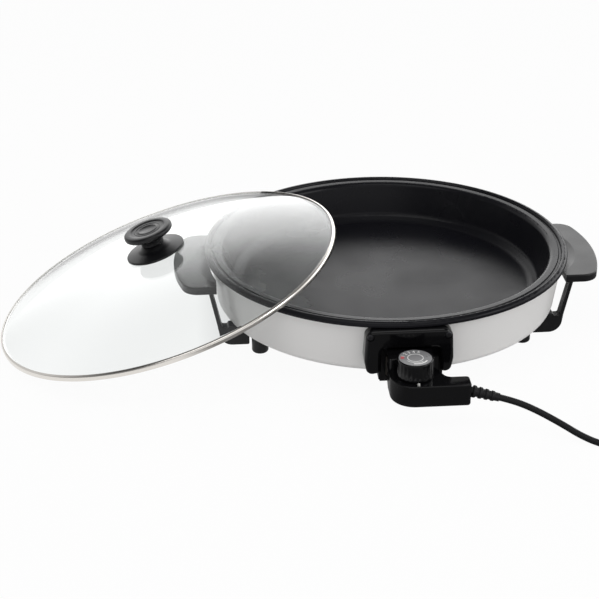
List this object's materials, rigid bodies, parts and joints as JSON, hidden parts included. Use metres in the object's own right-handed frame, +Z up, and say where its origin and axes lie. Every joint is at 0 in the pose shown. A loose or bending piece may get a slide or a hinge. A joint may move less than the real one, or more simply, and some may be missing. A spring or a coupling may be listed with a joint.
{
  "type": "electric pan",
  "caption": "Shallow round electric pan with two handles, a loose domed glass lid leaning on its rim and a plug-in thermostat.",
  "frame": {"origin": "on the table under the middle of the footprint of the pan, leaning lid and thermostat, without the lead; the pan's own axis stands at x 0.104, y 0.030", "axes": "+Z up from the table; the two handles lie along X with the lid leaning at the -X side; the thermostat and its dial face -Y, the user's side"},
  "size_m": [0.7769, 0.5499, 0.1349],
  "materials": {
    "pan_coating": "cast aluminium with a satin black non-stick coating all over",
    "white_enamel": "glossy white paint on pressed steel",
    "bakelite": "satin black moulded phenolic",
    "glossy_black": "polished black moulded plastic",
    "grey_print": "grey printed disc with pale numerals",
    "clear_glass": "clear tempered glass",
    "rim_steel": "bright rolled stainless steel",
    "zinc_steel": "zinc plated steel",
    "bright_aluminium": "bright rolled aluminium sheet",
    "element_sheath": "heat-dulled steel sheath",
    "plated_pins": "nickel plated",
    "brass": "bright brass",
    "steatite": "matt white technical ceramic",
    "cord_rubber": "matt black cord jacket",
    "clear_lens": "clear moulded lens",
    "silicone": "black silicone"
  },
  "bodies": {
    "pan": {"pan_vessel": "pan_coating", "outer_body": "white_enamel", "base_plate": "zinc_steel", "pan_pillars": "zinc_steel", "heat_reflector": "bright_aluminium", "heating_element": "element_sheath", "element_clamps": "zinc_steel", "clamp_rivets": "bright_aluminium", "probe_holder": "bright_aluminium", "feet": "bakelite", "foot_screws": "zinc_steel", "handle_right": "bakelite", "handle_left": "bakelite", "handle_screws": "zinc_steel", "handle_nuts": "zinc_steel", "socket_housing": "bakelite", "socket_screws": "zinc_steel", "terminal_block": "steatite", "terminal_pins": "plated_pins", "earth_clip": "brass"},
    "lid": {"lid_glass": "clear_glass", "lid_band": "rim_steel", "knob_base": "bakelite", "knob": "bakelite", "knob_washer": "silicone", "knob_screw": "zinc_steel"},
    "thermostat": {"thermostat_upper": "glossy_black", "thermostat_lower": "glossy_black", "thermostat_screws": "zinc_steel", "contact_carrier": "bakelite", "contact_sleeves": "brass", "probe_tube": "rim_steel", "probe_rod": "rim_steel", "switch_block": "steatite", "switch_blade": "brass", "pilot_lens": "clear_lens", "inner_leads": "silicone", "strain_relief": "cord_rubber", "cord_run": "cord_rubber", "cord_coil": "cord_rubber", "cord_tail": "cord_rubber", "cord_tie": "silicone", "plug_body": "cord_rubber", "plug_pins": "plated_pins", "plug_earth_clips": "brass"},
    "dial": {"dial": "glossy_black", "dial_shaft": "zinc_steel", "dial_face": "grey_print"}
  },
  "joints": [
    {"name": "lid_lift", "type": "slide", "parent": "pan", "child": "lid", "axis": [0, 0, 1], "range_m": [0, 0.2]},
    {"name": "thermostat_pull", "type": "slide", "parent": "pan", "child": "thermostat", "axis": [0, -1, 0], "range_m": [0, 0.1]},
    {"name": "dial_turn", "type": "hinge", "parent": "thermostat", "child": "dial", "pos_m": [0.10441, -0.215, 0.0554], "axis": [0, 0, -1], "range_deg": [0, 270]}
  ]
}
